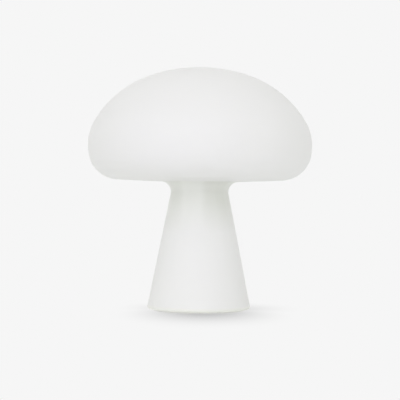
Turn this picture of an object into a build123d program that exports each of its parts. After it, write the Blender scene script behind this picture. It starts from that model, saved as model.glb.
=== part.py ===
from build123d import *
import os
from math import atan, cos, degrees, radians, sin, tan

# Cordless mushroom table lamp: one blown opal glass body over a battery, driver and light.
# Millimetres, +Z up, origin on the table at the centre of the foot, front towards -Y.

# Glass body
overall_height = 243.7
lip_height = 1.5  # gap between the glass lip and the table
glass_wall = 3.6
crown_radius = 152.7
crown_sweep = 19.6
shoulder_radius = 104.1
shoulder_sweep = 39.4
side_radius = 48.8
side_sweep = 44.3
rim_radius = 29.9
underside_slope = 2.3  # degrees that the cap's underside falls towards the neck
neck_fillet = 10.2
neck_drop = 12.9  # from the cap's underside down to the straight stem
foot_radius = 52.15
lip_inner_round = 0.6
lip_flat = 0.1  # left between the lip's outer and inner rounds

# Clearances
skin_gap = 0.05  # between bonded or pressed faces
fit_gap = 0.1  # between pieces that nest in one another
hole_gap = 0.2  # round screws, bosses and leads
button_gap = 0.3  # round the button
sleeve_gap = 0.3  # between the cell trays and the sleeve
cover_edge_gap = 0.5  # between the cover and the glass
bond_gap = 0.8  # between collar and glass, filled by the silicone bead
pass_clearance = 1.9  # between the light and the glass as it goes up through the neck

# Screws
screw_count = 3
cover_screw_radius = 1.3
cover_screw_head = 2.7
cover_screw_head_height = 1.4
cover_screw_length = 8.0
small_screw_radius = 1.0
small_screw_head = 1.9
small_screw_head_height = 1.2
small_screw_length = 5.0
recess_width = 0.7
recess_depth = 0.8
recess_margin = 0.8  # from the end of the cross recess to the head's edge
core_turn = 30.0  # where the core's and ballast's screws start, in degrees
cover_turn = 90.0  # where the cover's screws start
board_turn = -90.0  # where the control board's screws start

# Base cover and the foot ring in its groove
cover_recess = 0.8
cover_thickness = 2.5
foot_ring_width = 4.0
foot_ring_inset = 3.0
foot_groove_depth = 1.0
foot_ring_round = 0.6
post_radius = 2.6

# Power button and its switch
button_radius = 6.0
button_proud = 0.3
button_flange = 1.3
button_flange_thickness = 0.8
button_travel = 0.8
dish_radius = 30.0
dish_depth = 0.4
plunger_radius = 1.75
plunger_engaged = 2.0
switch_width = 6.2
switch_height = 4.3
switch_room = 0.6  # left between the pressed button and the switch

# Charging socket and charge light
plug_width = 12.4
plug_depth = 6.6
plug_gap = 0.4
port_round = 1.2
socket_width = 8.94
socket_depth = 3.26
socket_height = 6.5
socket_shell = 0.3
socket_offset = 13.5
socket_back = 1.4
tongue_width = 6.7
tongue_thickness = 0.7
tongue_short = 0.9
lens_radius = 1.5
lens_flange = 0.7
lens_flange_thickness = 0.6
lens_offset = 9.6
signal_chip_size = 1.6
signal_chip_height = 0.6

# Collar
collar_height = 13.5
collar_wall = 2.4
collar_deck = 2.5
deck_ledge = 2.3  # what the lower cell tray stands on
boss_inset = 11.0  # from the glass to the axis of the cover screws
boss_radius = 3.6
web_thickness = 2.0
bond_margin = 1.5

# Ballast
ballast_height = 8.0
ballast_board_gap = 2.5
ballast_edge_gap = 1.0
ballast_boss_radius = 3.0
ballast_screw_head = 4.2

# Control board
board_radius = 22.0
board_thickness = 1.6
board_screw_inset = 3.7
charge_chip_size = 5.0
charge_chip_height = 1.0
charge_chip_offset = 12.0
coil_radius = 3.2
coil_height = 3.0
coil_flange_thickness = 0.7
coil_waist = 0.5
coil_offset = 11.5
connector_width = 6.0
connector_depth = 4.2
connector_height = 4.0
connector_offset = 8.6

# Battery cells and their trays
cell_diameter = 18.4
cell_length = 65.2
cell_gap = 0.6
cell_edge_round = 1.0
pole_radius = 3.0
pole_height = 0.9
tab_thickness = 0.2
tab_width = 7.0
tab_round = 1.75
tab_overhang = 4.5
tray_wall = 1.2
tray_floor = 1.3
tray_depth = 5.0
pocket_gap = 0.2

# Core sleeve and the gasket round it
sleeve_wall = 1.8
sleeve_draft = 0.5  # how much the sleeve narrows towards its top
sleeve_step = 1.4
sleeve_flange_width = 7.2
sleeve_flange_thickness = 2.2
sleeve_rise = 8.5  # how far the sleeve rises above the start of the neck
core_screw_inset = 3.4
rib_width = 1.4
rib_height = 1.5
gasket_height = 7.0
gasket_drop = 9.0
gasket_groove = 1.2

# Heat sink, light board and diffuser
spigot_height = 7.0
fin_count = 18
fin_thickness = 1.2
fin_height = 14.0
hub_radius = 8.0
hub_bore = 4.0
plate_thickness = 3.2
pad_thickness = 0.5
led_board_thickness = 1.6
led_count = 12
led_circle = 12.0
inner_led_count = 6
inner_led_circle = 6.0
led_length = 3.5
led_width = 2.8
led_height = 0.7
led_screw_inset = 3.0
diffuser_wall = 1.6
diffuser_seat_width = 1.3
diffuser_seat_height = 2.0
diffuser_straight = 4.0
snap_depth = 0.4
snap_height = 1.2

# Leads
lead_radius = 0.6
lead_inset = 4.5  # from the edge of the cell trays
lead_spacing = 1.7
lead_tuck = 1.5  # how far a battery lead reaches over its tab
lead_slack = 4.0  # how far the light's leads bow inwards above the cells
lead_bend_share = 0.45  # of the shorter run beside a bend

# Radii of the core, from the cells outwards
cell_offset = (cell_diameter + cell_gap) / 2
pack_radius = cell_gap / 2 + cell_diameter + tray_wall
sleeve_bore = pack_radius + sleeve_gap
sleeve_radius = sleeve_bore + sleeve_wall
sleeve_top_radius = sleeve_radius - sleeve_draft
upper_bore = sleeve_bore - sleeve_step
plate_radius = sleeve_radius + fit_gap
engine_radius = plate_radius + fit_gap + diffuser_wall
neck_radius = engine_radius + pass_clearance + glass_wall
lead_offset = pack_radius - lead_inset
deck_hole_radius = pack_radius - deck_ledge
core_screw_circle = sleeve_radius + core_screw_inset
led_board_radius = plate_radius - diffuser_seat_width - hole_gap
led_screw_circle = led_board_radius - led_screw_inset

# Heights in the foot and of the battery
cover_bottom = lip_height + cover_recess
cover_top = cover_bottom + cover_thickness
cover_screw_seat = cover_bottom + cover_screw_head_height + fit_gap
groove_top = cover_bottom + foot_groove_depth
flange_bottom = cover_top + skin_gap
flange_top = flange_bottom + button_flange_thickness
switch_bottom = flange_top + button_travel + switch_room
plunger_top = switch_bottom + plunger_engaged
board_bottom = switch_bottom + switch_height
board_top = board_bottom + board_thickness
plug_height = board_top + connector_height / 2
ballast_top = cover_top + ballast_height
collar_top = cover_top + collar_height
deck_bottom = collar_top - collar_deck
lower_tab_bottom = collar_top + tray_floor
cell_bottom = lower_tab_bottom + tab_thickness
cell_top = cell_bottom + cell_length
upper_tab_bottom = cell_top + pole_height
upper_tab_top = upper_tab_bottom + tab_thickness
pack_top = upper_tab_top + tray_floor
rim_sweep = 180 - underside_slope - crown_sweep - shoulder_sweep - side_sweep


def cap_arcs(inset):
    """The cap's four tangent arcs from the crown to the underside, moved inwards by inset."""
    crown = JernArc((0, overall_height - inset), (1, 0), crown_radius - inset, -crown_sweep)
    shoulder = JernArc(crown @ 1, crown % 1, shoulder_radius - inset, -shoulder_sweep)
    side = JernArc(shoulder @ 1, shoulder % 1, side_radius - inset, -side_sweep)
    rim = JernArc(side @ 1, side % 1, rim_radius - inset, -rim_sweep)
    return [crown, shoulder, side, rim]


def underside_height(radius, inset=0.0):
    """Height of the cap's straight underside at a radius, moved inwards by inset."""
    rim_end = cap_arcs(inset)[-1] @ 1
    return rim_end.Y - (rim_end.X - radius) * tan(radians(underside_slope))


# Heights from the neck up
neck_height = underside_height(neck_radius) - neck_drop
stem_taper = degrees(atan((foot_radius - neck_radius) / (neck_height - lip_height)))
gasket_bottom = neck_height - gasket_drop
gasket_top = gasket_bottom + gasket_height
sleeve_top = neck_height + sleeve_rise
spigot_bottom = sleeve_top - spigot_height
fins_top = sleeve_top + fin_height
plate_top = fins_top + plate_thickness
snap_bottom = fins_top + (plate_thickness - snap_height) / 2
snap_top = snap_bottom + snap_height
led_board_bottom = plate_top + pad_thickness
led_board_top = led_board_bottom + led_board_thickness

# The lip's outer round takes what its flat and its inner round leave of the wall
outer_half_corner = radians(90 - stem_taper) / 2
inner_half_corner = radians(90 + stem_taper) / 2
lip_width = glass_wall / cos(radians(stem_taper))
outer_round_width = lip_width - lip_flat - lip_inner_round / tan(inner_half_corner)
lip_round = outer_round_width * tan(outer_half_corner)


def stem_radius(height, inset=0.0):
    """Radius of the conical stem at a height, moved inwards by inset."""
    outside = foot_radius - (height - lip_height) * tan(radians(stem_taper))
    return outside - inset / cos(radians(stem_taper))


def stem_bore(height):
    return stem_radius(height, glass_wall)


screw_circle = stem_bore(cover_top) - boss_inset
foot_ring_outer = stem_bore(cover_bottom) - foot_ring_inset
foot_ring_inner = foot_ring_outer - foot_ring_width
board_screw_circle = board_radius - board_screw_inset
ballast_bore = board_radius + ballast_board_gap
ballast_radius = stem_bore(ballast_top) - bond_gap - collar_wall - ballast_edge_gap
ballast_screw_circle = (ballast_bore + ballast_radius) / 2


def rod(radius, bottom, top, x=0.0, y=0.0):
    """An upright cylinder between two heights."""
    upright = (Align.CENTER, Align.CENTER, Align.MIN)
    return Pos(x, y, bottom) * Cylinder(radius, top - bottom, align=upright)


def block(width, depth, bottom, top, x=0.0, y=0.0):
    """An upright box between two heights."""
    upright = (Align.CENTER, Align.CENTER, Align.MIN)
    return Pos(x, y, bottom) * Box(width, depth, top - bottom, align=upright)


def slug(sketch, bottom, top):
    """A sketch drawn up between two heights."""
    return Pos(0, 0, bottom) * extrude(sketch, top - bottom)


def turned(*corners):
    """A ring turned from the corners (radius, height) of its section."""
    outline = Polyline(*corners, close=True)
    return revolve(Plane.XZ * make_face(outline), Axis.Z)


def turns(count, start):
    """Angles spread evenly round a circle."""
    return [start + 360.0 * index / count for index in range(count)]


def spots(radius, start):
    """Centres of the screws round a circle."""
    angles = [radians(turn) for turn in turns(screw_count, start)]
    return [(radius * cos(angle), radius * sin(angle)) for angle in angles]


def lead_spots():
    """Centres of the two leads that rise to the light."""
    return [(-lead_spacing / 2, lead_offset), (lead_spacing / 2, lead_offset)]


def joined(solids):
    return Part() + list(solids)


def screw(spot, head, shank, seat, way):
    """A screw on its seat: head and shank are (radius, length), way is +1 for a point upwards."""
    x, y = spot
    head_radius, head_height = head
    shank_radius, shank_length = shank
    crown = seat - way * head_height
    point = seat + way * shank_length
    recess_floor = crown + way * recess_depth
    recess_low = min(crown, recess_floor)
    recess_high = max(crown, recess_floor)
    recess_length = 2 * (head_radius - recess_margin)
    solid = rod(head_radius, min(seat, crown), max(seat, crown), x, y)
    solid += rod(shank_radius, min(seat, point), max(seat, point), x, y)
    solid -= block(recess_length, recess_width, recess_low, recess_high, x, y)
    solid -= block(recess_width, recess_length, recess_low, recess_high, x, y)
    return solid


small_head = (small_screw_head, small_screw_head_height)


def lead(*points):
    """A round lead along straight runs, with the largest arc that each corner has room for."""
    stops = [Vector(*point) for point in points]
    bends = []
    for before, corner, after in zip(stops, stops[1:], stops[2:]):
        run_in = corner - before
        run_out = after - corner
        half_turn = radians(run_in.get_angle(run_out) / 2)
        shorter = min(run_in.length, run_out.length)
        bends.append(lead_bend_share * shorter / tan(half_turn))
    print("lead bends", [round(bend, 1) for bend in bends])
    route = FilletPolyline(*stops, radius=bends)
    section = Plane(origin=route @ 0, z_dir=route % 0) * Circle(lead_radius)
    return sweep(section, path=route)


def shade_face(inset):
    """Half section of the body's outer form, moved inwards by inset, open at the lip."""
    arcs = cap_arcs(inset)
    slope = tan(radians(underside_slope))
    taper = tan(radians(stem_taper))
    foot = stem_radius(lip_height, inset)
    axis_height = underside_height(0.0, inset)
    corner_radius = (foot - (axis_height - lip_height) * taper) / (1 + slope * taper)
    corner = (corner_radius, underside_height(corner_radius, inset))
    outline = Polyline(arcs[-1] @ 1, corner, (foot, lip_height), (0, lip_height), arcs[0] @ 0)
    face = make_face(Curve() + arcs + [outline])
    neck = face.vertices().sort_by_distance(Vertex(*corner, 0))[0]
    return fillet(neck, neck_fillet + inset)


def glass_shade():
    """Blown body: cap, neck and stem in one wall, with its rounded lip."""
    section = shade_face(0.0) - shade_face(glass_wall)
    outer_lip = Vertex(foot_radius, lip_height, 0)
    section = fillet(section.vertices().sort_by_distance(outer_lip)[0], lip_round)
    inner_lip = Vertex(stem_bore(lip_height), lip_height, 0)
    section = fillet(section.vertices().sort_by_distance(inner_lip)[0], lip_inner_round)
    return revolve(Plane.XZ * section, Axis.Z)


def foot_collar():
    """Ring bonded in the glass: tapered wall, deck, and bosses webbed to the wall."""
    low = stem_bore(cover_top) - bond_gap
    high = stem_bore(collar_top) - bond_gap
    under_deck = stem_bore(deck_bottom) - bond_gap - collar_wall
    ring = turned(
        (low, cover_top),
        (high, collar_top),
        (deck_hole_radius, collar_top),
        (deck_hole_radius, deck_bottom),
        (under_deck, deck_bottom),
        (low - collar_wall, cover_top),
    )
    inside_of_wall = turned((0, cover_top), (low, cover_top), (high, collar_top), (0, collar_top))
    for turn in turns(screw_count, cover_turn):
        boss = rod(boss_radius, cover_top, deck_bottom, screw_circle)
        web_middle = (screw_circle + low) / 2
        boss += block(low - screw_circle, web_thickness, cover_top, deck_bottom, web_middle)
        ring += Rot(0, 0, turn) * (boss & inside_of_wall)
    for x, y in spots(screw_circle, cover_turn):
        ring -= rod(cover_screw_radius + skin_gap, cover_top, cover_top + cover_screw_length, x, y)
    for x, y in spots(core_screw_circle, core_turn):
        ring -= rod(small_screw_radius + skin_gap, deck_bottom, collar_top, x, y)
    return ring


def collar_bond():
    """Silicone bead that fills the gap between collar and glass."""
    bottom = cover_top + bond_margin
    top = collar_top - bond_margin
    inner_gap = bond_gap - skin_gap
    return turned(
        (stem_bore(bottom) - inner_gap, bottom),
        (stem_bore(bottom) - skin_gap, bottom),
        (stem_bore(top) - skin_gap, top),
        (stem_bore(top) - inner_gap, top),
    )


def base_cover():
    """Recessed closing plate with its groove, port, button hole, posts and bosses."""
    low = stem_bore(cover_bottom) - cover_edge_gap
    high = stem_bore(cover_top) - cover_edge_gap
    plate = turned((0, cover_bottom), (low, cover_bottom), (high, cover_top), (0, cover_top))
    groove = rod(foot_ring_outer + fit_gap, cover_bottom, groove_top)
    groove -= rod(foot_ring_inner - fit_gap, cover_bottom, groove_top)
    plate -= groove
    for x, y in spots(board_screw_circle, board_turn):
        plate += rod(post_radius, cover_top, board_bottom, x, y)
        plate -= rod(small_screw_radius + skin_gap, cover_top, board_bottom, x, y)
    for x, y in spots(ballast_screw_circle, core_turn):
        plate += rod(ballast_boss_radius, cover_top, ballast_top - fit_gap, x, y)
        plate -= rod(small_screw_radius + skin_gap, cover_top, ballast_top, x, y)
    for x, y in spots(screw_circle, cover_turn):
        plate -= rod(cover_screw_radius + hole_gap, cover_bottom, cover_top, x, y)
        plate -= rod(cover_screw_head + hole_gap, cover_bottom, cover_screw_seat, x, y)
    plate -= rod(button_radius + button_gap, cover_bottom, cover_top)
    plate -= rod(lens_radius + skin_gap, cover_bottom, cover_top, lens_offset, socket_offset)
    port = RectangleRounded(plug_width + 2 * plug_gap, plug_depth + 2 * plug_gap, port_round)
    plate -= slug(Pos(0, socket_offset) * port, cover_bottom, cover_top)
    return plate


def foot_ring():
    """Silicone ring that the lamp stands on, seated in the cover's groove."""
    middle = (foot_ring_outer + foot_ring_inner) / 2
    section = Pos(middle, groove_top / 2) * Rectangle(foot_ring_width, groove_top)
    standing_edges = section.vertices().sort_by(Axis.Y)[:2]
    section = fillet(standing_edges, foot_ring_round)
    return revolve(Plane.XZ * section, Axis.Z)


def base_screws():
    head = (cover_screw_head, cover_screw_head_height)
    shank = (cover_screw_radius, cover_screw_length)
    centres = spots(screw_circle, cover_turn)
    return joined(screw(spot, head, shank, cover_screw_seat, 1) for spot in centres)


def ballast_ring():
    """Steel weight, slotted round the collar's bosses and drilled over the cover's bosses."""
    ring = rod(ballast_radius, cover_top, ballast_top) - rod(ballast_bore, cover_top, ballast_top)
    slot_width = 2 * (boss_radius + hole_gap)
    for turn in turns(screw_count, cover_turn):
        slot = rod(slot_width / 2, cover_top, ballast_top, screw_circle)
        slot += block(boss_inset * 2, slot_width, cover_top, ballast_top, screw_circle + boss_inset)
        ring -= Rot(0, 0, turn) * slot
    for x, y in spots(ballast_screw_circle, core_turn):
        ring -= rod(ballast_boss_radius + fit_gap, cover_top, ballast_top, x, y)
    return ring


def ballast_screws():
    head = (ballast_screw_head, small_screw_head_height)
    shank = (small_screw_radius, small_screw_length)
    centres = spots(ballast_screw_circle, core_turn)
    return joined(screw(spot, head, shank, ballast_top, -1) for spot in centres)


def power_button():
    """Dished button with the flange that keeps it behind the cover."""
    face = cover_bottom - button_proud
    cap = rod(button_radius, face, flange_top)
    cap = chamfer(cap.edges().group_by(Axis.Z)[0], button_proud)
    cap -= Pos(0, 0, face + dish_depth - dish_radius) * Sphere(dish_radius)
    return cap + rod(button_radius + button_flange, flange_bottom, flange_top)


def switch_plunger():
    return rod(plunger_radius, flange_top, plunger_top)


def push_switch():
    """Push switch under the board, bored for its plunger over the whole travel."""
    body = block(switch_width, switch_width, switch_bottom, board_bottom)
    return body - rod(plunger_radius + fit_gap, switch_bottom, plunger_top + button_travel + hole_gap)


def control_board():
    board = rod(board_radius, board_bottom, board_top)
    for x, y in spots(board_screw_circle, board_turn):
        board -= rod(small_screw_radius + hole_gap, board_bottom, board_top, x, y)
    return board


def board_screws():
    shank = (small_screw_radius, small_screw_length)
    centres = spots(board_screw_circle, board_turn)
    return joined(screw(spot, small_head, shank, board_top, -1) for spot in centres)


def socket_outline(inset):
    outline = SlotOverall(socket_width - 2 * inset, socket_depth - 2 * inset)
    return Pos(0, socket_offset) * outline


def charge_socket():
    """Upright metal shell of the charging socket, mouth down."""
    mouth = board_bottom - socket_height
    shell = slug(socket_outline(0.0), mouth, board_bottom)
    return shell - slug(socket_outline(socket_shell), mouth, board_bottom)


def socket_tongue():
    """Moulded back of the socket and the contact tongue that hangs from it."""
    back = board_bottom - socket_back
    tip = board_bottom - socket_height + tongue_short
    plug = slug(socket_outline(socket_shell + skin_gap), back, board_bottom)
    return plug + block(tongue_width, tongue_thickness, tip, back, 0.0, socket_offset)


def indicator_led():
    bottom = board_bottom - signal_chip_height
    return block(signal_chip_size, signal_chip_size, bottom, board_bottom, lens_offset, socket_offset)


def indicator_lens():
    """Light pipe from the charge light to the cover's outer face."""
    top = board_bottom - signal_chip_height - fit_gap
    pipe = rod(lens_radius, cover_bottom, top, lens_offset, socket_offset)
    flange_face = cover_top + lens_flange_thickness
    flange = rod(lens_radius + lens_flange, cover_top, flange_face, lens_offset, socket_offset)
    return pipe + flange


def charge_chip():
    top = board_top + charge_chip_height
    return block(charge_chip_size, charge_chip_size, board_top, top, -charge_chip_offset)


def driver_coil():
    """Drum choke: two flanges with the winding between them."""
    top = board_top + coil_height
    drum = rod(coil_radius - coil_waist, board_top, top, coil_offset)
    drum += rod(coil_radius, board_top, board_top + coil_flange_thickness, coil_offset)
    return drum + rod(coil_radius, top - coil_flange_thickness, top, coil_offset)


def connector(side):
    """Plug housing on the board; side is the way its two leads leave along Y."""
    top = board_top + connector_height
    housing = block(connector_width, connector_depth, board_top, top, 0.0, side * connector_offset)
    mouth = side * (connector_offset + connector_depth / 2)
    for x in (-lead_spacing / 2, lead_spacing / 2):
        bore = Rot(90, 0, 0) * Cylinder(lead_radius + fit_gap, connector_depth)
        housing -= Pos(x, mouth, plug_height) * bore
    return housing


def light_connector():
    return connector(1)


def battery_connector():
    return connector(-1)


def cell_tray(bottom, top, pocket_bottom, pocket_top):
    """Tray with two pockets, room for the tab, and slots and a channel for the leads."""
    pocket_radius = cell_diameter / 2 + pocket_gap
    channel_width = lead_spacing + 2 * (lead_radius + hole_gap)
    channel_end = tab_width / 2 - lead_tuck - hole_gap
    channel_start = lead_offset + lead_radius + hole_gap
    channel_middle = (channel_start + channel_end) / 2
    tray = rod(pack_radius, bottom, top)
    tray -= rod(pocket_radius, pocket_bottom, pocket_top, -cell_offset)
    tray -= rod(pocket_radius, pocket_bottom, pocket_top, cell_offset)
    tray -= slug(tab_outline(fit_gap), pocket_bottom, pocket_top)
    tray -= block(channel_width, channel_start - channel_end, bottom, top, 0.0, -channel_middle)
    slot = SlotOverall(channel_width, 2 * (lead_radius + hole_gap))
    return tray - slug(Pos(0, lead_offset) * slot, bottom, top)


def cell_tray_lower():
    top = lower_tab_bottom + tray_depth
    return cell_tray(collar_top, top, lower_tab_bottom, top)


def cell_tray_upper():
    bottom = upper_tab_top - tray_depth
    return cell_tray(bottom, pack_top, bottom, upper_tab_top)


def battery_cells():
    """Two upright wrapped cells with their raised poles."""
    cells = []
    for x in (-cell_offset, cell_offset):
        cell = rod(cell_diameter / 2, cell_bottom, cell_top, x)
        cell = fillet(cell.edges().filter_by(GeomType.CIRCLE), cell_edge_round)
        cells.append(cell + rod(pole_radius, cell_top, upper_tab_bottom, x))
    return joined(cells)


def tab_outline(grow):
    length = 2 * (cell_offset + tab_overhang + grow)
    return RectangleRounded(length, tab_width + 2 * grow, tab_round)


def cell_tab_lower():
    return slug(tab_outline(0.0), lower_tab_bottom, cell_bottom)


def cell_tab_upper():
    return slug(tab_outline(0.0), upper_tab_bottom, upper_tab_top)


def core_sleeve():
    """Tube round the cells: flange on the deck, inner step over the pack, rib under the gasket."""
    step = pack_top + fit_gap
    flange_radius = sleeve_radius + sleeve_flange_width
    flange_face = collar_top + sleeve_flange_thickness
    rib_bottom = gasket_bottom - rib_height
    tube = turned(
        (sleeve_bore, collar_top),
        (flange_radius, collar_top),
        (flange_radius, flange_face),
        (sleeve_radius, flange_face),
        (sleeve_top_radius, rib_bottom),
        (sleeve_top_radius + rib_width, rib_bottom),
        (sleeve_top_radius + rib_width, gasket_bottom),
        (sleeve_top_radius, gasket_bottom),
        (sleeve_top_radius, sleeve_top),
        (upper_bore, sleeve_top),
        (upper_bore, step),
        (sleeve_bore, step),
    )
    for x, y in spots(core_screw_circle, core_turn):
        tube -= rod(small_screw_radius + hole_gap, collar_top, flange_face, x, y)
    return tube


def core_screws():
    seat = collar_top + sleeve_flange_thickness
    shank = (small_screw_radius, sleeve_flange_thickness + collar_deck - fit_gap)
    centres = spots(core_screw_circle, core_turn)
    return joined(screw(spot, small_head, shank, seat, -1) for spot in centres)


def neck_gasket():
    """Soft ring that centres the sleeve in the glass, grooved so that it gives."""
    inner = sleeve_top_radius + skin_gap
    lip_height_each = gasket_height / 3
    low_lip_top = gasket_bottom + lip_height_each
    high_lip_bottom = gasket_top - lip_height_each
    low_lip_radius = stem_bore(low_lip_top) - skin_gap
    high_lip_radius = stem_bore(high_lip_bottom) - skin_gap
    return turned(
        (inner, gasket_bottom),
        (stem_bore(gasket_bottom) - skin_gap, gasket_bottom),
        (low_lip_radius, low_lip_top),
        (low_lip_radius - gasket_groove, low_lip_top),
        (high_lip_radius - gasket_groove, high_lip_bottom),
        (high_lip_radius, high_lip_bottom),
        (stem_bore(gasket_top) - skin_gap, gasket_top),
        (inner, gasket_top),
    )


def heat_sink():
    """Bored hub and top plate with upright fins between, and a spigot for the sleeve."""
    body = rod(upper_bore - skin_gap, spigot_bottom, sleeve_top)
    body += rod(sleeve_top_radius, sleeve_top, sleeve_top + fin_thickness)
    body += rod(hub_radius, sleeve_top, fins_top)
    body += rod(plate_radius, fins_top, plate_top)
    groove = rod(plate_radius, snap_bottom, snap_top)
    body -= groove - rod(plate_radius - snap_depth, snap_bottom, snap_top)
    fin_root = hub_radius - fin_thickness
    fin_tip = sleeve_top_radius - fin_thickness
    fin = block(fin_tip - fin_root, fin_thickness, sleeve_top, fins_top, (fin_tip + fin_root) / 2)
    fin += rod(fin_thickness / 2, sleeve_top, fins_top, fin_tip)
    for turn in turns(fin_count, 90.0 + 180.0 / fin_count):
        body += Rot(0, 0, turn) * fin
    body -= rod(hub_bore, spigot_bottom, fins_top)
    for x, y in spots(led_screw_circle, core_turn):
        body -= rod(small_screw_radius + skin_gap, fins_top, plate_top, x, y)
    for x, y in lead_spots():
        body -= rod(lead_radius + hole_gap, spigot_bottom, plate_top, x, y)
    return body


def light_disc(bottom, top):
    """Disc the size of the light board, drilled for its screws and leads."""
    disc = rod(led_board_radius, bottom, top)
    for x, y in spots(led_screw_circle, core_turn):
        disc -= rod(small_screw_radius + hole_gap, bottom, top, x, y)
    for x, y in lead_spots():
        disc -= rod(lead_radius + hole_gap, bottom, top, x, y)
    return disc


def thermal_pad():
    return light_disc(plate_top, led_board_bottom)


def led_board():
    return light_disc(led_board_bottom, led_board_top)


def led_chips():
    """Two rings of chips, turned so that a gap faces the leads."""
    chips = []
    for circle, count in ((led_circle, led_count), (inner_led_circle, inner_led_count)):
        chip = block(led_length, led_width, led_board_top, led_board_top + led_height, circle)
        chips += [Rot(0, 0, turn) * chip for turn in turns(count, 90.0 + 180.0 / count)]
    return joined(chips)


def led_screws():
    shank = (small_screw_radius, led_board_thickness + pad_thickness + plate_thickness - fit_gap)
    centres = spots(led_screw_circle, core_turn)
    return joined(screw(spot, small_head, shank, led_board_top, -1) for spot in centres)


def diffuser_dome():
    """Opal cap over the light: snap bead in the plate's groove, seat on the plate, round dome."""
    skirt = plate_radius + fit_gap
    bead_low = snap_bottom + fit_gap
    bead_high = snap_top - fit_gap
    seat = plate_radius - diffuser_seat_width
    seat_top = plate_top + diffuser_seat_height
    inside = engine_radius - diffuser_wall
    dome_height = seat_top + diffuser_straight
    outer_dome = JernArc((0, dome_height + engine_radius), (1, 0), engine_radius, -90)
    lower = Polyline(
        (engine_radius, dome_height),
        (engine_radius, fins_top),
        (skirt, fins_top),
        (skirt, bead_low),
        (skirt - snap_depth, (bead_low + bead_high) / 2),
        (skirt, bead_high),
        (skirt, plate_top),
        (seat, plate_top),
        (seat, seat_top),
        (inside, seat_top),
        (inside, dome_height),
    )
    inner_dome = JernArc((0, dome_height + inside), (1, 0), inside, -90)
    middle = Line((0, dome_height + inside), (0, dome_height + engine_radius))
    section = make_face(Curve() + [outer_dome, lower, inner_dome, middle])
    return revolve(Plane.XZ * section, Axis.Z)


def light_lead(x):
    """From the light's plug, up behind the cells with a slack bow above them, to the light board."""
    bow_low = pack_top + lead_slack
    bow_high = spigot_bottom - lead_slack
    return lead(
        (x, connector_offset, plug_height),
        (x, lead_offset, plug_height),
        (x, lead_offset, bow_low),
        (x, lead_offset - lead_slack, (bow_low + bow_high) / 2),
        (x, lead_offset, bow_high),
        (x, lead_offset, led_board_top),
    )


def light_lead_red():
    return light_lead(lead_spacing / 2)


def light_lead_black():
    return light_lead(-lead_spacing / 2)


def battery_lead(x, end_height):
    """From the battery's plug, up in front of the cells, and in along the tray to a tab."""
    return lead(
        (x, -connector_offset, plug_height),
        (x, -lead_offset, plug_height),
        (x, -lead_offset, end_height),
        (x, lead_tuck - tab_width / 2, end_height),
    )


def battery_lead_red():
    return battery_lead(lead_spacing / 2, upper_tab_top + skin_gap + lead_radius)


def battery_lead_black():
    return battery_lead(-lead_spacing / 2, lower_tab_bottom - skin_gap - lead_radius)


makers = [
    glass_shade,
    foot_collar,
    collar_bond,
    base_cover,
    foot_ring,
    base_screws,
    ballast_ring,
    ballast_screws,
    power_button,
    switch_plunger,
    push_switch,
    control_board,
    board_screws,
    charge_socket,
    socket_tongue,
    indicator_led,
    indicator_lens,
    charge_chip,
    driver_coil,
    light_connector,
    battery_connector,
    cell_tray_lower,
    cell_tray_upper,
    battery_cells,
    cell_tab_lower,
    cell_tab_upper,
    core_sleeve,
    core_screws,
    neck_gasket,
    heat_sink,
    thermal_pad,
    led_board,
    led_chips,
    led_screws,
    diffuser_dome,
    light_lead_red,
    light_lead_black,
    battery_lead_red,
    battery_lead_black,
]

os.makedirs("parts", exist_ok=True)
for make in makers:
    export_step(make(), "parts/" + make.__name__ + ".step")

cap = Curve() + cap_arcs(0.0)
print("cap diameter", round(2 * cap.bounding_box().max.X, 2))
print("neck", round(neck_height, 2), "radius", round(neck_radius, 2), "taper", round(stem_taper, 3))
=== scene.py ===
import math

import bmesh
import bpy
from mathutils import Matrix, Vector


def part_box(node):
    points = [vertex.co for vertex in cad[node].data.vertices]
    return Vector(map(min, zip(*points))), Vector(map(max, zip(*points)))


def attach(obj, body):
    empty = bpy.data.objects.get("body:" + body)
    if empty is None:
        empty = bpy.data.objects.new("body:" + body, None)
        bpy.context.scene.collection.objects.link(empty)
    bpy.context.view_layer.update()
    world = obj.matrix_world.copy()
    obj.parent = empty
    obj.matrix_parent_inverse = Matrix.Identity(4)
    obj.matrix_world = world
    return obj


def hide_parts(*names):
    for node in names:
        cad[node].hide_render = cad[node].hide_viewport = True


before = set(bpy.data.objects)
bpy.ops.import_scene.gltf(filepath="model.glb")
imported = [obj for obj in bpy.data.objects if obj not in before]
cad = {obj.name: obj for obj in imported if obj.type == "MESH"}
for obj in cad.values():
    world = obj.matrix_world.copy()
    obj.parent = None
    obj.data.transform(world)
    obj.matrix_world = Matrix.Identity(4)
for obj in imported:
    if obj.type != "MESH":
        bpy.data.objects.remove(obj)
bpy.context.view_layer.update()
print("frame loaded:", len(cad), "nodes")


def newMaterial(name):
    mat = bpy.data.materials.new(name)
    mat.use_nodes = True
    mat.node_tree.nodes.clear()
    return mat, mat.node_tree


def addNode(tree, kind, inputs=None, **settings):
    node = tree.nodes.new(kind)
    for key, value in settings.items():
        setattr(node, key, value)
    for key, value in (inputs or {}).items():
        if isinstance(value, bpy.types.NodeSocket):
            tree.links.new(value, node.inputs[key])
        else:
            node.inputs[key].default_value = value
    return node


def calc(tree, operation, *values):
    inputs = dict(enumerate(values))
    return addNode(tree, "ShaderNodeMath", inputs, operation=operation).outputs[0]


def vectorCalc(tree, operation, *values):
    inputs = dict(enumerate(values))
    node = addNode(tree, "ShaderNodeVectorMath", inputs, operation=operation)
    givesNumber = operation in ("LENGTH", "DISTANCE", "DOT_PRODUCT")
    return node.outputs["Value" if givesNumber else "Vector"]


def rgba(colour):
    return (*colour, 1.0)


def dimmed(colour, share):
    return tuple(channel * share for channel in colour)


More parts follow.
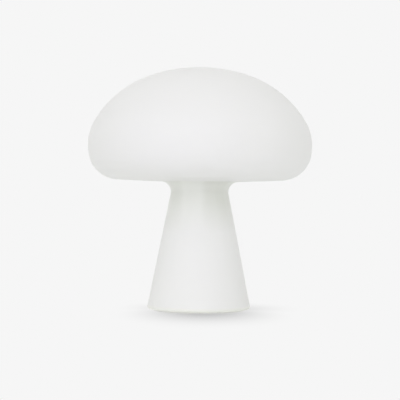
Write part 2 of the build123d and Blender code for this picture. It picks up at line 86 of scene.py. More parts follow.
def mixColour(tree, fac, low, high):
    # the mix node's inputs 0, 6 and 7 are its factor and its two colours
    inputs = {0: fac, 6: low, 7: high}
    return addNode(tree, "ShaderNodeMix", inputs, data_type="RGBA").outputs[2]


def mapRange(tree, value, fromLow, fromHigh, toLow=0.0, toHigh=1.0, smooth=False):
    inputs = {
        "Value": value,
        "From Min": fromLow,
        "From Max": fromHigh,
        "To Min": toLow,
        "To Max": toHigh,
    }
    kind = "SMOOTHSTEP" if smooth else "LINEAR"
    node = addNode(tree, "ShaderNodeMapRange", inputs, interpolation_type=kind)
    return node.outputs["Result"]


def finishSurface(tree, shader):
    out = addNode(tree, "ShaderNodeOutputMaterial")
    tree.links.new(shader.outputs[0], out.inputs["Surface"])


def finishPrincipled(tree, inputs):
    finishSurface(tree, addNode(tree, "ShaderNodeBsdfPrincipled", inputs))


def onObject(tree):
    return addNode(tree, "ShaderNodeTexCoord").outputs["Object"]


def upPart(tree, vector):
    return addNode(tree, "ShaderNodeSeparateXYZ", {"Vector": vector}).outputs["Z"]


def upward(tree):
    # how far the surface faces up: 1 on tops, 0 on sides, -1 on undersides
    return upPart(tree, addNode(tree, "ShaderNodeNewGeometry").outputs["Normal"])


def fromAxis(tree, where, x=0.0):
    # distance from an upright axis that stands x to the right of the lamp's own
    moved = vectorCalc(tree, "SUBTRACT", where, (x, 0.0, 0.0))
    return vectorCalc(tree, "LENGTH", vectorCalc(tree, "MULTIPLY", moved, (1.0, 1.0, 0.0)))


def stretched(tree, where, scale):
    inputs = {"Vector": where, "Scale": scale}
    return addNode(tree, "ShaderNodeMapping", inputs).outputs["Vector"]


def grain(tree, where, scale, detail=2.0, roughness=0.5):
    inputs = {"Vector": where, "Scale": scale, "Detail": detail, "Roughness": roughness}
    return addNode(tree, "ShaderNodeTexNoise", inputs).outputs["Fac"]


def bump(tree, height, distance, below=None):
    inputs = {"Height": height, "Distance": distance, "Strength": 1.0}
    if below is not None:
        inputs["Normal"] = below
    return addNode(tree, "ShaderNodeBump", inputs).outputs["Normal"]


# the values of a noise between which a colour or a roughness runs from one end to the other
noiseSpans = {"narrow": (0.3, 0.7), "middle": (0.25, 0.75), "wide": (0.2, 0.8)}


def roughnessRound(tree, noise, middle, spread):
    # falls and rises by the two parts of spread, as the grain does
    less, more = spread
    return mapRange(tree, noise, *noiseSpans["middle"], middle - less, middle + more)


cameraSetup = {
    "distance": 1.300,  # in front of the lamp's axis
    "eyeHeight": 0.1078,
    "lens": 116.25,
    "sensor": 36.0,
    "tilt": 0.133,  # degrees up
    "pan": 0.020,  # degrees to the right
    "roll": 0.5,  # degrees, turns the picture clockwise
    "farthest": 200.0,
}


def makeCamera(setup):
    data = bpy.data.cameras.new("camera")
    data.lens = setup["lens"]
    data.sensor_width = setup["sensor"]
    data.clip_end = setup["farthest"]
    camera = bpy.data.objects.new("camera", data)
    bpy.context.scene.collection.objects.link(camera)
    upright = Matrix.Rotation(math.radians(90.0 + setup["tilt"]), 4, "X")
    turn = Matrix.Rotation(math.radians(-setup["pan"]), 4, "Z")
    roll = Matrix.Rotation(math.radians(setup["roll"]), 4, "Z")
    place = Matrix.Translation((0.0, -setup["distance"], setup["eyeHeight"]))
    camera.matrix_world = place @ turn @ upright @ roll
    bpy.context.scene.camera = camera


makeCamera(cameraSetup)
print("camera made")

# the studio: a pale table lit through from below, one wide light in front and one above
studio = {
    "backdrop": 0.9216,  # the pale grey behind and under the lamp, linear
    "floorSize": 60.0,
    "floorDrop": 0.0002,  # just clear of the foot ring's flat face
    "floorBounce": 0.80,
    "floorGlow": (0.195, 0.203, 0.176),
    "pools": [
        # middle of a patch of table that glows more or less, its even part, its reach, its light
        ((-0.15, -0.52), 0.0, 0.50, (0.05, 0.02, 0.17)),
        ((0.35, 0.0), 0.0, 0.30, (0.14, 0.13, 0.22)),  # off to the right, out of view
        ((0.0, 0.0), 0.038, 0.061, (0.385, 0.382, 0.405)),  # under the foot
        ((0.035, -0.085), 0.0, 0.10, (-0.10, -0.10, -0.09)),  # less in the lamp's own shadow
    ],
    "shadowKnee": 0.50,  # how closed in the floor has to be for a shadow's full depth
    "shadowSpan": 0.25,  # how far off the lamp still darkens the floor
    "shadowRays": 16,
    "shadows": [
        # middle, reach across and along, depth
        ((0.006, -0.050), (0.090, 0.155), 0.40),
        ((0.010, 0.030), (0.100, 0.100), 0.29),
    ],
    "ambient": (0.470, 0.474, 0.443),
    "softboxes": {
        # name: (azimuth from the camera's side, elevation, light, tightness)
        "front": (-8.5, 0.0, (1.230, 1.200, 1.305), 2.0),
        "top": (0.0, 90.0, (0.402, 0.396, 0.410), 2.0),
    },
}


def seenDirectly(tree):
    # 1 for rays from the camera and for those that glass and gloss pass on
    path = addNode(tree, "ShaderNodeLightPath")
    seen = path.outputs["Is Camera Ray"]
    for kind in ("Is Glossy Ray", "Is Transmission Ray"):
        seen = calc(tree, "MAXIMUM", seen, path.outputs[kind])
    return seen


def lampShadow(tree, setup):
    # gathered close round the foot, so that the open floor stays as even as the backdrop
    where = onObject(tree)
    deepest = 0.0
    for middle, reach, depth in setup["shadows"]:
        moved = vectorCalc(tree, "SUBTRACT", where, (*middle, 0.0))
        scaled = vectorCalc(tree, "DIVIDE", moved, (*reach, 1.0))
        distance = vectorCalc(tree, "LENGTH", scaled)
        fade = mapRange(tree, distance, 0.0, 1.0, depth, 0.0, smooth=True)
        deepest = calc(tree, "MAXIMUM", fade, deepest)
    inputs = {"Distance": setup["shadowSpan"]}
    sky = addNode(tree, "ShaderNodeAmbientOcclusion", inputs, samples=setup["shadowRays"])
    closedIn = mapRange(tree, sky.outputs["AO"], 1.0, 1.0 - setup["shadowKnee"])
    return calc(tree, "MULTIPLY", closedIn, deepest)


def tableGlow(tree, setup):
    where = onObject(tree)
    glow = setup["floorGlow"]
    for middle, even, reach, light in setup["pools"]:
        distance = vectorCalc(tree, "DISTANCE", where, (*middle, 0.0))
        pool = mapRange(tree, distance, even, reach, 1.0, 0.0, smooth=True)
        glow = vectorCalc(tree, "MULTIPLY_ADD", pool, light, glow)
    return glow


def mixShaders(tree, fac, low, high):
    inputs = {0: fac, 1: low.outputs[0], 2: high.outputs[0]}
    return addNode(tree, "ShaderNodeMixShader", inputs)


def makeFloor(setup):
    mat, tree = newMaterial("paperFloor")
    tone = rgba((setup["backdrop"],) * 3)
    shown = calc(tree, "SUBTRACT", 1.0, lampShadow(tree, setup))
    seen = addNode(tree, "ShaderNodeEmission", {"Color": tone, "Strength": shown})
    bounce = rgba((setup["floorBounce"],) * 3)
    bouncing = addNode(tree, "ShaderNodeBsdfDiffuse", {"Color": bounce})
    inputs = {"Color": tableGlow(tree, setup), "Strength": 1.0}
    glowing = addNode(tree, "ShaderNodeEmission", inputs)
    inputs = {0: bouncing.outputs[0], 1: glowing.outputs[0]}
    around = addNode(tree, "ShaderNodeAddShader", inputs)
    fromAbove = mixShaders(tree, seenDirectly(tree), around, seen)
    # open from below, so that the underside of the foot can be looked at
    below = addNode(tree, "ShaderNodeNewGeometry").outputs["Backfacing"]
    gone = addNode(tree, "ShaderNodeBsdfTransparent")
    finishSurface(tree, mixShaders(tree, below, fromAbove, gone))

    half = setup["floorSize"] / 2
    level = -setup["floorDrop"]
    sides = [(-half, -half), (half, -half), (half, half), (-half, half)]
    mesh = bpy.data.meshes.new("floor")
    mesh.from_pydata([(x, y, level) for x, y in sides], [], [(0, 1, 2, 3)])
    mesh.materials.append(mat)
    floor = bpy.data.objects.new("floor", mesh)
    bpy.context.scene.collection.objects.link(floor)


def towards(azimuth, elevation):
    # azimuth 0 is the camera's side, positive to the right
    side = math.radians(azimuth)
    rise = math.radians(elevation)
    flat = math.cos(rise)
    return math.sin(side) * flat, -math.cos(side) * flat, math.sin(rise)


def makeWorld(setup):
    world = bpy.data.worlds.new("studioAir")
    bpy.context.scene.world = world
    world.use_nodes = True
    tree = world.node_tree
    tree.nodes.clear()
    tone = rgba((setup["backdrop"],) * 3)
    direction = addNode(tree, "ShaderNodeTexCoord").outputs["Generated"]
    light = setup["ambient"]
    for azimuth, elevation, strength, tightness in setup["softboxes"].values():
        facing = vectorCalc(tree, "DOT_PRODUCT", direction, towards(azimuth, elevation))
        lobe = calc(tree, "POWER", calc(tree, "MAXIMUM", facing, 0.0), tightness)
        light = vectorCalc(tree, "MULTIPLY_ADD", lobe, strength, light)
    around = addNode(tree, "ShaderNodeBackground", {"Color": light, "Strength": 1.0})
    shown = addNode(tree, "ShaderNodeBackground", {"Color": tone, "Strength": 1.0})
    mix = mixShaders(tree, seenDirectly(tree), around, shown)
    out = addNode(tree, "ShaderNodeOutputWorld")
    tree.links.new(mix.outputs[0], out.inputs["Surface"])


makeFloor(studio)
makeWorld(studio)
bpy.context.scene.view_settings.view_transform = "Standard"
print("studio made")

glassShape = {
    "height": 0.2437,
    "lip": 0.0015,  # gap under the glass
    "wall": 0.0036,
    "arcs": [  # radius and sweep in degrees, from the crown out
        (0.1527, 19.6),
        (0.1041, 39.4),
        (0.0488, 44.3),
    ],
    "rimRadius": 0.0299,
    "undersideSlope": 2.3,
    "neckFillet": 0.0102,
    "neckRadius": 0.0293,
    "neckDrop": 0.0129,  # from the underside down to the straight stem
    "footRadius": 0.05215,
    "lipRound": 0.0025,
    "lipInnerRound": 0.0006,
    # how finely it is drawn
    "around": 192,
    "arcStep": 2.2,  # degrees
    "fewestArcSteps": 6,
    "undersideSteps": 8,
    "neckSteps": 14,
    "stemSteps": 24,
    "lipSteps": 10,
    "lipInnerSteps": 4,
}


def stepAlong(point, heading, radius, sweep, steps):
    # points of an arc that leaves point along heading and turns clockwise
    x, z = point
    start = math.radians(heading)
    centre = (x + radius * math.sin(start), z - radius * math.cos(start))
    points = []
    for index in range(1, steps + 1):
        now = start - math.radians(sweep) * index / steps
        points.append((centre[0] - radius * math.sin(now), centre[1] + radius * math.cos(now)))
    return points


def capLine(shape, inset):
    # the cap's section from its crown to where the flat underside starts
    points = [(0.0, shape["height"] - inset)]
    heading = 0.0
    rimSweep = 180.0 - shape["undersideSlope"] - sum(sweep for radius, sweep in shape["arcs"])
    for radius, sweep in shape["arcs"] + [(shape["rimRadius"], rimSweep)]:
        steps = max(shape["fewestArcSteps"], round(sweep / shape["arcStep"]))
        points += stepAlong(points[-1], heading, radius - inset, sweep, steps)
        heading -= sweep
    return points


def roundedCorner(before, corner, after, radius, steps):
    # the corner's arc between two straight runs
    toStart = (Vector(before) - Vector(corner)).normalized()
    toEnd = (Vector(after) - Vector(corner)).normalized()
    half = toStart.angle(toEnd) / 2
    reach = radius / math.tan(half)
    centre = Vector(corner) + (toStart + toEnd).normalized() * (radius / math.sin(half))
    first = Vector(corner) + toStart * reach - centre
    last = Vector(corner) + toEnd * reach - centre
    turn = first.angle_signed(last)
    points = []
    for index in range(steps + 1):
        arm = first.copy()
        arm.rotate(Matrix.Rotation(-turn * index / steps, 2))
        points.append(tuple(centre + arm))
    return points


def evenRun(start, end, steps):
    # points inside a straight run, without its ends
    return [tuple(Vector(start).lerp(Vector(end), index / steps)) for index in range(1, steps)]


def faceLine(shape, cap, neck, lipStart):
    # one face of the wall, from the crown down to the lip
    underside = evenRun(cap[-1], neck[0], shape["undersideSteps"])
    stem = evenRun(neck[-1], lipStart, shape["stemSteps"])
    return cap + underside + neck + stem


def glassLine(shape):
    # the wall's whole section: down its outside, round the lip and up its inside
    slope = math.tan(math.radians(shape["undersideSlope"]))
    rimEnd = capLine(shape, 0.0)[-1]
    underNeck = rimEnd[1] - (rimEnd[0] - shape["neckRadius"]) * slope
    neckHeight = underNeck - shape["neckDrop"]
    taper = (shape["footRadius"] - shape["neckRadius"]) / (neckHeight - shape["lip"])
    lean = math.sqrt(1.0 + taper * taper)
    sides = []
    for inset in (0.0, shape["wall"]):
        cap = capLine(shape, inset)
        foot = (shape["footRadius"] - inset * lean, shape["lip"])
        middle = cap[-1][1] - cap[-1][0] * slope
        radius = (foot[0] - (middle - shape["lip"]) * taper) / (1.0 + slope * taper)
        corner = (radius, middle + radius * slope)
        fillet = shape["neckFillet"] + inset
        neck = roundedCorner(cap[-1], corner, foot, fillet, shape["neckSteps"])
        sides.append((cap, neck, foot))
    (outerCap, outerNeck, outerFoot), (innerCap, innerNeck, innerFoot) = sides
    outerRound = (shape["lipRound"], shape["lipSteps"])
    innerRound = (shape["lipInnerRound"], shape["lipInnerSteps"])
    outerLip = roundedCorner(outerNeck[-1], outerFoot, innerFoot, *outerRound)
    innerLip = roundedCorner(outerFoot, innerFoot, innerNeck[-1], *innerRound)
    outer = faceLine(shape, outerCap, outerNeck, outerLip[0])
    inner = faceLine(shape, innerCap, innerNeck, innerLip[-1])
    return outer + outerLip + innerLip + inner[::-1]


def lathe(name, line, around):
    # turns a section round the Z axis; points on the axis become one vertex
    nearAxis = 1e-7
    bm = bmesh.new()
    rings = []
    for radius, height in line:
        if radius < nearAxis:
            rings.append([bm.verts.new((0.0, 0.0, height))])
            continue
        ring = []
        for index in range(around):
            angle = 2.0 * math.pi * index / around
            corner = (radius * math.cos(angle), radius * math.sin(angle), height)
            ring.append(bm.verts.new(corner))
        rings.append(ring)
    for upper, lower in zip(rings, rings[1:]):
        for index in range(around):
            following = (index + 1) % around
            corners = [upper[index % len(upper)], lower[index % len(lower)]]
            corners += [lower[following % len(lower)], upper[following % len(upper)]]
            unique = list(dict.fromkeys(corners))
            if len(unique) > 2:
                bm.faces.new(unique)
    bmesh.ops.recalc_face_normals(bm, faces=bm.faces)
    mesh = bpy.data.meshes.new(name)
    bm.to_mesh(mesh)
    bm.free()
    mesh.shade_smooth()
    piece = bpy.data.objects.new(name, mesh)
    bpy.context.scene.collection.objects.link(piece)
    return piece


opalGlassLook = {
    "body": (0.906, 0.910, 0.895),
    "cloudScale": 18.0,  # slow clouds in the opal, too faint to see as marks
    "cloudShare": 0.992,  # of the body's colour, where a cloud is darkest
    "lip": (0.90, 0.91, 0.84),  # the ground edge lets more of the glass's own tint through
    "lipFade": (0.0045, 0.0010),  # heights above the lip where its tint starts and is full
    "neck": (0.902, 0.917, 0.874),  # thicker and greener where the gather was pinched in
    "neckFade": (0.078, 0.108),  # heights between which the neck's tint and its painted shade come in
    "neckEnd": (0.036, 0.044),  # radii between which they go out again, under the cap
    "neckTop": (0.142, 0.137),  # none of it over the first height, all under the second
    # painted shade round the neck, where the cap shades it: its darker colour and its bands
    "neckShadeColour": (0.806, 0.822, 0.771),
    "neckShadeBands": [
        # azimuth from the front, half width in degrees, depth
        (44.0, 30.0, 0.85),
        (76.0, 30.0, 0.8),
        (-56.0, 34.0, 0.6),
        (112.0, 30.0, 0.7),
        (176.0, 36.0, 0.5),
        (-128.0, 28.0, 0.8),
    ],
    "wobbleScale": 35.0,
    "wobble": 0.012,  # how far the painted shade bands' edges wander
    "roughness": (0.50, 0.62),
    "frostScale": 5200.0,
    "frostDepth": 0.000006,
    "rippleScale": 26.0,
    "rippleDepth": 0.00006,
    "casing": 0.45,  # the thin clear layer over the opal
    "casingRoughness": 0.33,
    "milk": 0.25,
    "lipMilk": 0.50,
    "milkReach": (0.012, 0.012, 0.011),
    "ior": 1.5,
}


def paintedNeckShade(tree, where, look):
    # painted shade: upright darker bands round the neck, where the cap shades it
    inputs = {"Vector": where, "Scale": look["wobbleScale"]}
    wobble = addNode(tree, "ShaderNodeTexNoise", inputs).outputs["Color"]
    moved = vectorCalc(tree, "MULTIPLY_ADD", wobble, (look["wobble"],) * 3, where)
    flat = vectorCalc(tree, "MULTIPLY", moved, (1.0, 1.0, 0.0))
    outward = vectorCalc(tree, "NORMALIZE", flat)
    total = 0.0
    for azimuth, width, depth in look["neckShadeBands"]:
        facing = vectorCalc(tree, "DOT_PRODUCT", outward, towards(azimuth, 0.0))
        edge = math.cos(math.radians(width))
        band = mapRange(tree, facing, edge, 1.0, 0.0, depth, smooth=True)
        total = calc(tree, "ADD", band, total)
    return total


def neckTintAndShade(tree, where, height, look):
    # 1 round the neck, fading out down the stem, out under the cap and above the neck; it places
    # the neck's greener tint and its painted shade
    rising = mapRange(tree, height, *look["neckFade"])
    ending = mapRange(tree, fromAxis(tree, where), *look["neckEnd"], 1.0, 0.0)
    underCap = mapRange(tree, height, *look["neckTop"])
    return calc(tree, "MULTIPLY", calc(tree, "MULTIPLY", rising, ending), underCap)


def frostedOpal(look, lipHeight):
    mat, tree = newMaterial("frostedOpalGlass")
    where = onObject(tree)
    height = upPart(tree, where)
    clouds = grain(tree, where, look["cloudScale"], detail=3.0)
    cloud = mapRange(tree, clouds, *noiseSpans["narrow"])
    cloudy = dimmed(look["body"], look["cloudShare"])
    body = mixColour(tree, cloud, rgba(cloudy), rgba(look["body"]))
    # painted shade bands on the neck, mixed over its greener tint
    neckShadeBands = paintedNeckShade(tree, where, look)
    neckShaded = mixColour(tree, neckShadeBands, rgba(look["neck"]), rgba(look["neckShadeColour"]))
    body = mixColour(tree, neckTintAndShade(tree, where, height, look), body, neckShaded)
    start, full = look["lipFade"]
    lip = mapRange(tree, height, lipHeight + start, lipHeight + full)
    frost = grain(tree, where, look["frostScale"], roughness=0.6)
    ripple = grain(tree, where, look["rippleScale"], roughness=0.4)
    waves = bump(tree, ripple, look["rippleDepth"])
    finishPrincipled(tree, {
        "Base Color": mixColour(tree, lip, body, rgba(look["lip"])),
        "Roughness": mapRange(tree, frost, *noiseSpans["narrow"], *look["roughness"]),
        "Normal": bump(tree, frost, look["frostDepth"], waves),
        "Subsurface Weight": mapRange(tree, lip, 0.0, 1.0, look["milk"], look["lipMilk"]),
        "Subsurface Radius": look["milkReach"],
        "Subsurface Scale": 1.0,
        "IOR": look["ior"],
        "Coat Weight": look["casing"],
        "Coat Roughness": look["casingRoughness"],
    })
    return mat


def makeGlass(shape, look):
    piece = lathe("glassBody", glassLine(shape), shape["around"])
    piece.data.materials.append(frostedOpal(look, shape["lip"]))
    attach(piece, "lamp")
    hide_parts("glass_shade")


makeGlass(glassShape, opalGlassLook)
print("glass made")

mouldings = {
    # name: (colour, roughness, grain scale, grain depth)
    "whiteMoulding": ((0.80, 0.80, 0.775), 0.50, 2600.0, 0.00002),
    "buttonMoulding": ((0.83, 0.83, 0.81), 0.36, 3400.0, 0.000008),
    "blackMoulding": ((0.018, 0.018, 0.02), 0.42, 3000.0, 0.00001),
    "ivoryNylon": ((0.72, 0.69, 0.58), 0.45, 2200.0, 0.00001),
    "chipBlack": ((0.016, 0.016, 0.017), 0.60, 6000.0, 0.00001),
    "ferrite": ((0.045, 0.043, 0.042), 0.72, 4200.0, 0.00003),
    "padGrey": ((0.30, 0.31, 0.33), 0.80, 3500.0, 0.00003),
    "redLead": ((0.42, 0.02, 0.016), 0.38, 1500.0, 0.000008),
    "blackLead": ((0.02, 0.02, 0.02), 0.38, 1500.0, 0.000008),
}
mouldingDrift = {
    "scale": 40.0,  # of the slow drift in tone that any moulding has
    "darkest": 0.94,  # share of the colour
    "spread": (0.05, 0.08),  # of the roughness, down and up
}


def moulded(name, colour, roughness, scale, depth):
    # fine spark-eroded grain
    mat, tree = newMaterial(name)
    where = onObject(tree)
    fine = grain(tree, where, scale, detail=3.0, roughness=0.6)
    slow = grain(tree, where, mouldingDrift["scale"])
    darker = dimmed(colour, mouldingDrift["darkest"])
    finishPrincipled(tree, {
        "Base Color": mixColour(tree, slow, rgba(darker), rgba(colour)),
        "Roughness": roughnessRound(tree, fine, roughness, mouldingDrift["spread"]),
        "Normal": bump(tree, fine, depth),
    })
    return mat


milkies = {
    # name: (colour, roughness, milk, how far light spreads inside, grain scale, grain depth)
    "softSilicone": ((0.80, 0.80, 0.785), 0.62, 0.30, 0.0015, 1800.0, 0.00002),
    "opalMoulding": ((0.88, 0.88, 0.865), 0.44, 0.60, 0.0030, 3000.0, 0.000012),
}
milkyFlow = {
    "scale": 55.0,  # of the flow lines from the mould's gate
    "edge": (0.35, 0.65),
    "darkest": 0.965,  # share of the colour
    "spread": (0.04, 0.06),  # of the roughness, down and up
    "inside": (1.0, 1.0, 0.9),  # how far red, green and blue spread, as shares
}


def milky(name, colour, roughness, milk, reach, scale, depth):
    # light sinks into the surface before it comes back
    mat, tree = newMaterial(name)
    where = onObject(tree)
    fine = grain(tree, where, scale, roughness=0.6)
    flow = grain(tree, where, milkyFlow["scale"], detail=3.0, roughness=0.55)
    lines = mapRange(tree, flow, *milkyFlow["edge"])
    darker = dimmed(colour, milkyFlow["darkest"])
    finishPrincipled(tree, {
        "Base Color": mixColour(tree, lines, rgba(darker), rgba(colour)),
        "Roughness": roughnessRound(tree, fine, roughness, milkyFlow["spread"]),
        "Normal": bump(tree, fine, depth),
        "Subsurface Weight": milk,
        "Subsurface Radius": milkyFlow["inside"],
        "Subsurface Scale": reach,
    })
    return mat


metals = {
    # name: (colour, roughness, stretch of the brush marks)
    "zincSteel": ((0.56, 0.57, 0.58), 0.34, (1.0, 1.0, 8.0)),
    "nickelStrip": ((0.66, 0.64, 0.60), 0.28, (0.12, 1.0, 1.0)),
    "socketSteel": ((0.63, 0.63, 0.63), 0.25, (1.0, 1.0, 0.2)),
    "anodisedAluminium": ((0.70, 0.71, 0.72), 0.40, (1.0, 1.0, 0.2)),
}
metalMarks = {
    "scale": 2400.0,
    "depth": 0.00001,
    "stainScale": 120.0,
    "stainEdge": (0.35, 0.7),
    "stained": 0.82,  # share of the colour
    "spread": (0.08, 0.10),  # of the roughness, down and up
}


def brushed(name, colour, roughness, stretch):
    mat, tree = newMaterial(name)
    where = onObject(tree)
    drawn = stretched(tree, where, stretch)
    marks = grain(tree, drawn, metalMarks["scale"], detail=3.0, roughness=0.6)
    stain = grain(tree, where, metalMarks["stainScale"], detail=3.0, roughness=0.6)
    stains = mapRange(tree, stain, *metalMarks["stainEdge"])
    dull = dimmed(colour, metalMarks["stained"])
    finishPrincipled(tree, {
        "Base Color": mixColour(tree, stains, rgba(colour), rgba(dull)),
        "Roughness": roughnessRound(tree, marks, roughness, metalMarks["spread"]),
        "Normal": bump(tree, marks, metalMarks["depth"]),
        "Metallic": 1.0,
    })
    return mat


ballastLook = {
    "steel": (0.42, 0.43, 0.44),
    "groove": (0.33, 0.335, 0.34),
    "turnsPerMetre": 1400.0,
    "grooveDepth": 0.00002,
    "stainScale": 90.0,
    "dirtEdge": (0.1, 0.4),
    "roughness": (0.32, 0.50),
}


def turnedSteel(look):
    # rings left by the lathe, worked out from the distance to the lamp's axis
    mat, tree = newMaterial("turnedSteel")
    where = onObject(tree)
    inputs = {"X": fromAxis(tree, where), "Y": upPart(tree, where)}
    section = addNode(tree, "ShaderNodeCombineXYZ", inputs).outputs["Vector"]
    rings = grain(tree, section, look["turnsPerMetre"], roughness=0.7)
    stain = grain(tree, where, look["stainScale"], detail=3.0, roughness=0.6)
    dirt = mapRange(tree, calc(tree, "MULTIPLY", rings, stain), *look["dirtEdge"])
    finishPrincipled(tree, {
        "Base Color": mixColour(tree, dirt, rgba(look["groove"]), rgba(look["steel"])),
        "Roughness": mapRange(tree, rings, *noiseSpans["narrow"], *look["roughness"]),
        "Normal": bump(tree, rings, look["grooveDepth"]),
        "Metallic": 1.0,
    })
    return mat


boards = {
    # name: (lacquer, track under the lacquer, bare edge, track scale)
    "greenBoard": ((0.012, 0.085, 0.036), (0.022, 0.150, 0.066), (0.34, 0.30, 0.15), 300.0),
    "whiteBoard": ((0.80, 0.80, 0.785), (0.70, 0.70, 0.69), (0.60, 0.61, 0.62), 240.0),
}
boardPrint = {
    "jitter": 0.45,  # how far the tracks leave a plain grid
    "trackEdge": (0.16, 0.11),
    "trackHeight": 0.00003,
    "dotEdge": (0.085, 0.065),
    "tin": (0.60, 0.60, 0.58),
    "topEdge": (0.4, 0.8),  # how level a face has to be to wear the lacquer
    "weaveScale": 5000.0,
    "roughness": (0.28, 0.42),
    "gloss": 0.25,
}


def lacquered(name, lacquer, track, edge, scale):
    # the tracks stand proud under the lacquer, and tinned dots mark where they pass through
    mat, tree = newMaterial(name)
    where = onObject(tree)
    flat = vectorCalc(tree, "MULTIPLY", where, (1.0, 1.0, 0.0))
    inputs = {"Vector": flat, "Scale": scale, "Randomness": boardPrint["jitter"]}
    distances = []
    for feature in ("F2", "F1"):
        cells = {"feature": feature, "distance": "CHEBYCHEV"}
        pads = addNode(tree, "ShaderNodeTexVoronoi", inputs, **cells)
        distances.append(pads.outputs["Distance"])
    second, nearest = distances
    between = calc(tree, "SUBTRACT", second, nearest)
    tracks = mapRange(tree, between, *boardPrint["trackEdge"])
    dots = mapRange(tree, nearest, *boardPrint["dotEdge"])
    weave = grain(tree, where, boardPrint["weaveScale"])
    tone = mixColour(tree, tracks, rgba(lacquer), rgba(track))
    tone = mixColour(tree, dots, tone, rgba(boardPrint["tin"]))
    level = calc(tree, "ABSOLUTE", upward(tree))
    tops = mapRange(tree, level, *boardPrint["topEdge"])
    raised = calc(tree, "MAXIMUM", tracks, dots)
    finishPrincipled(tree, {
        "Base Color": mixColour(tree, tops, rgba(edge), tone),
        "Roughness": mapRange(tree, weave, *noiseSpans["wide"], *boardPrint["roughness"]),
        "Normal": bump(tree, raised, boardPrint["trackHeight"]),
        "Coat Weight": boardPrint["gloss"],
    })
    return mat


lightChipLook = {
    "phosphor": (0.86, 0.62, 0.10),
    "phosphorPale": (0.90, 0.72, 0.26),
    "frame": (0.84, 0.84, 0.80),
    "topEdge": (0.7, 0.9),  # how level a face has to be to show the phosphor
    "roughness": (0.40, 0.24),  # of the frame and of the phosphor
    "grainScale": 9000.0,
    "grainDepth": 0.000006,
}


def phosphorChip(look):
    # a yellow phosphor fills the top of a white frame
    mat, tree = newMaterial("phosphorChip")
    where = onObject(tree)
    speckle = grain(tree, where, look["grainScale"], detail=3.0, roughness=0.7)
    pale = mapRange(tree, speckle, *noiseSpans["narrow"])
    yellow = mixColour(tree, pale, rgba(look["phosphor"]), rgba(look["phosphorPale"]))
    tops = mapRange(tree, upward(tree), *look["topEdge"])
    finishPrincipled(tree, {
        "Base Color": mixColour(tree, tops, rgba(look["frame"]), yellow),
        "Roughness": mapRange(tree, tops, 0.0, 1.0, *look["roughness"]),
        "Normal": bump(tree, speckle, look["grainDepth"]),
    })
    return mat


cellLook = {
    "wrap": (0.040, 0.145, 0.330),
    "wrapFolded": (0.060, 0.180, 0.380),  # where the film has shrunk into folds, near the ends
    "can": (0.62, 0.61, 0.58),
    "offset": 0.0095,  # of each cell from the lamp's axis
    "wrapOver": (0.0074, 0.0072),  # radii between which the wrap ends on a cell's end
    "endEdge": (0.5, 0.7),  # how level a face has to be to count as an end
    "folds": 0.007,  # how far they reach from each end
    "foldStretch": (1.0, 1.0, 0.12),
    "foldScale": 900.0,
    "foldDepth": 0.00008,
    "roughness": (0.20, 0.34),
}


def wrappedCell(look):
    mat, tree = newMaterial("wrappedCell")
    low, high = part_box("battery_cells")
    where = onObject(tree)
    left = fromAxis(tree, where, -look["offset"])
    right = fromAxis(tree, where, look["offset"])
    radius = calc(tree, "MINIMUM", left, right)
    height = upPart(tree, where)
    ends = mapRange(tree, calc(tree, "ABSOLUTE", upward(tree)), *look["endEdge"])
    bare = calc(tree, "MULTIPLY", ends, mapRange(tree, radius, *look["wrapOver"]))
    nearLow = mapRange(tree, height, low[2] + look["folds"], low[2])
    nearHigh = mapRange(tree, height, high[2] - look["folds"], high[2])
    nearEnd = calc(tree, "MAXIMUM", nearLow, nearHigh)
    creases = grain(tree, stretched(tree, where, look["foldStretch"]), look["foldScale"])
    folded = calc(tree, "MULTIPLY", creases, nearEnd)
    film = mixColour(tree, folded, rgba(look["wrap"]), rgba(look["wrapFolded"]))
    finishPrincipled(tree, {
        "Base Color": mixColour(tree, bare, film, rgba(look["can"])),
        "Roughness": mapRange(tree, creases, *noiseSpans["wide"], *look["roughness"]),
        "Metallic": bare,
        "Normal": bump(tree, folded, look["foldDepth"]),
    })
    return mat


lensLook = {
    "tint": (0.90, 0.92, 0.93),
    "through": 0.85,
    "ior": 1.49,
    "roughness": (0.10, 0.22),
    "dragStretch": (1.0, 1.0, 0.1),
    "dragScale": 2500.0,
    "dragDepth": 0.000004,
}


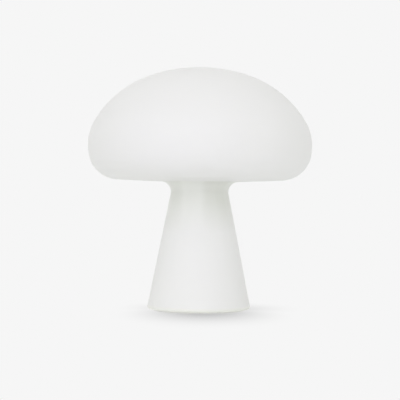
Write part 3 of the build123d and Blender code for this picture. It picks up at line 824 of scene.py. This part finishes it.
def clearLens(look):
    # a polished light pipe with faint drag marks from its mould
    mat, tree = newMaterial("clearLens")
    drag = grain(tree, stretched(tree, onObject(tree), look["dragStretch"]), look["dragScale"])
    finishPrincipled(tree, {
        "Base Color": rgba(look["tint"]),
        "Roughness": mapRange(tree, drag, *noiseSpans["narrow"], *look["roughness"]),
        "Normal": bump(tree, drag, look["dragDepth"]),
        "Transmission Weight": look["through"],
        "IOR": look["ior"],
    })
    return mat


finishes = {}
families = [(moulded, mouldings), (milky, milkies), (brushed, metals), (lacquered, boards)]
for makeFinish, family in families:
    for name, values in family.items():
        finishes[name] = makeFinish(name, *values)
finishes["turnedSteel"] = turnedSteel(ballastLook)
finishes["phosphorChip"] = phosphorChip(lightChipLook)
finishes["wrappedCell"] = wrappedCell(cellLook)
finishes["clearLens"] = clearLens(lensLook)

wornBy = {
    "whiteMoulding": [
        "foot_collar", "base_cover", "cell_tray_lower", "cell_tray_upper", "core_sleeve",
    ],
    "buttonMoulding": ["power_button"],
    "blackMoulding": ["switch_plunger", "push_switch", "socket_tongue"],
    "ivoryNylon": ["light_connector", "battery_connector"],
    "chipBlack": ["charge_chip"],
    "ferrite": ["driver_coil"],
    "padGrey": ["thermal_pad"],
    "redLead": ["light_lead_red", "battery_lead_red"],
    "blackLead": ["light_lead_black", "battery_lead_black"],
    "softSilicone": ["foot_ring", "collar_bond", "neck_gasket"],
    "opalMoulding": ["diffuser_dome"],
    "zincSteel": ["base_screws", "ballast_screws", "board_screws", "core_screws", "led_screws"],
    "nickelStrip": ["cell_tab_lower", "cell_tab_upper"],
    "socketSteel": ["charge_socket"],
    "anodisedAluminium": ["heat_sink"],
    "turnedSteel": ["ballast_ring"],
    "greenBoard": ["control_board"],
    "whiteBoard": ["led_board"],
    "phosphorChip": ["led_chips", "indicator_led"],
    "wrappedCell": ["battery_cells"],
    "clearLens": ["indicator_lens"],
}
for finish, names in wornBy.items():
    for name in names:
        materials = cad[name].data.materials
        materials.clear()
        materials.append(finishes[finish])
print("finishes made:", len(finishes))
